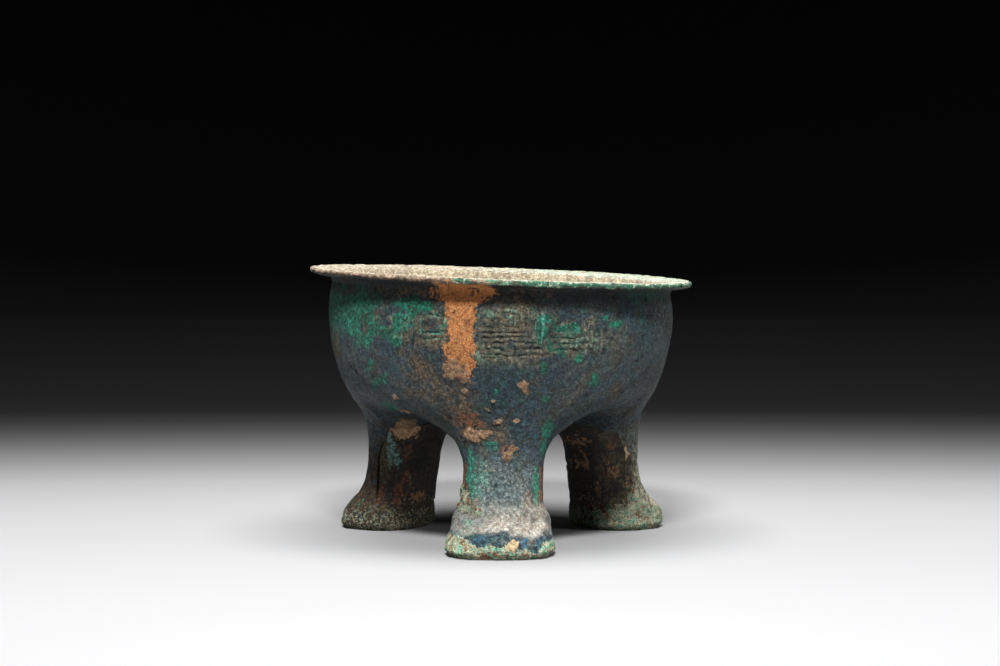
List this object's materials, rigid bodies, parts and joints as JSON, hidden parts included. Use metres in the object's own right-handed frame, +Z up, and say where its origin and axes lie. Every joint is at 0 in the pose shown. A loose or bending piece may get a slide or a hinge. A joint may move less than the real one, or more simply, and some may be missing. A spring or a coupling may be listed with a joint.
{
  "type": "bronze li tripod",
  "caption": "Hollow bronze li tripod vessel: round bowl with a flat flaring rim, lobed underside and hoofed half-round legs that are open at the back over their clay casting cores.",
  "frame": {"origin": "on the standing surface, on the axis of the bowl and its rim", "axes": "+Z up, +X the observer's right, -Y the front, where the front leg stands"},
  "size_m": [0.1512, 0.1512, 0.1071],
  "materials": {
    "patinated_bronze": "corroded cast bronze, blue-grey with green and blue patches",
    "fired_clay": "rough fired clay, dark rusty brown"
  },
  "bodies": {
    "root": {"bronze_vessel": "patinated_bronze", "clay_core_front_leg": "fired_clay", "clay_core_left_leg": "fired_clay", "clay_core_right_leg": "fired_clay"}
  },
  "joints": []
}
